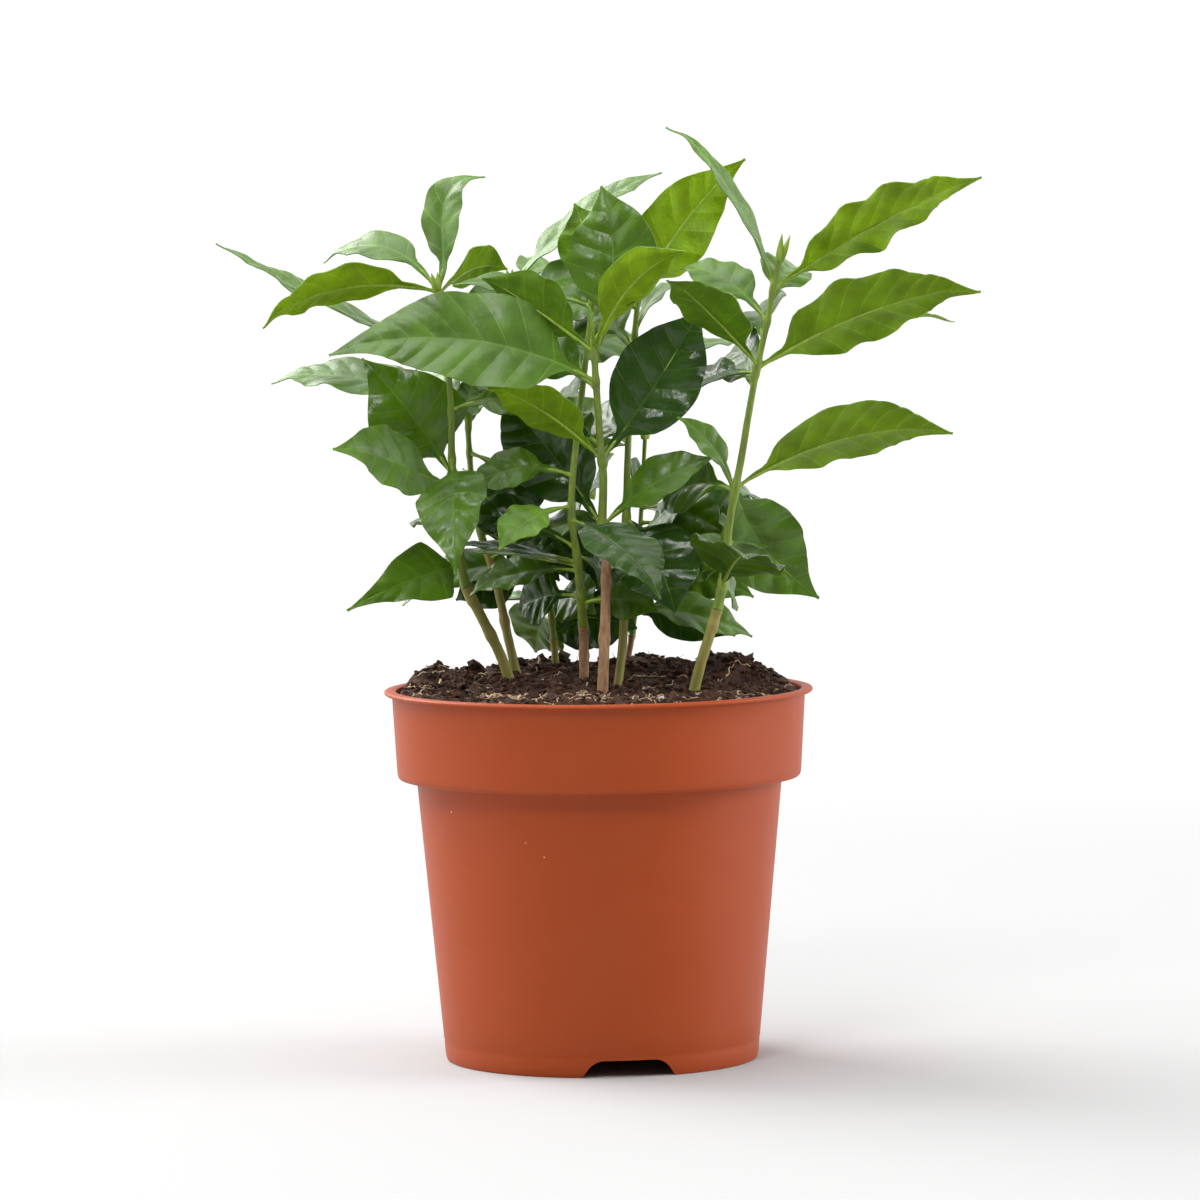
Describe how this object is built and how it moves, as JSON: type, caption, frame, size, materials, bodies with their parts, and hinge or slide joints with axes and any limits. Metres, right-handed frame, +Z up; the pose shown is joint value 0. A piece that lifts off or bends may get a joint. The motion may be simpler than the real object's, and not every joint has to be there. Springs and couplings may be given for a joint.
{
  "type": "potted coffee plant",
  "caption": "Small potted coffee plant: a clump of leafy coffee seedlings growing from dark peat soil in a round terracotta-coloured plastic nursery pot with a rolled rim.",
  "frame": {"origin": "on the ground, under the centre of the pot, at the flat underside of its feet", "axes": "+Z up; +X towards the plant's right side and -Y towards the viewer, as the plant faces the camera"},
  "size_m": [0.2141, 0.12, 0.2622],
  "materials": {
    "pot": "satin, slightly rough moulded plastic, terracotta colour",
    "soil": "dark, rough and crumbly",
    "stem": "young bark, matte",
    "shoot": "living leaf, glossy above and matte below"
  },
  "bodies": {
    "root": {"pot": "pot", "soil": "soil", "stem_left": "stem", "stem_left_inner": "stem", "stem_back_left": "stem", "stem_middle": "stem", "stem_front": "stem", "stem_middle_right": "stem", "stem_back_right": "stem", "stem_right": "stem", "shoot_left": "shoot", "shoot_left_inner": "shoot", "shoot_back_left": "shoot", "shoot_middle": "shoot", "shoot_front": "shoot", "shoot_middle_right": "shoot", "shoot_back_right": "shoot", "shoot_right": "shoot"}
  },
  "joints": []
}
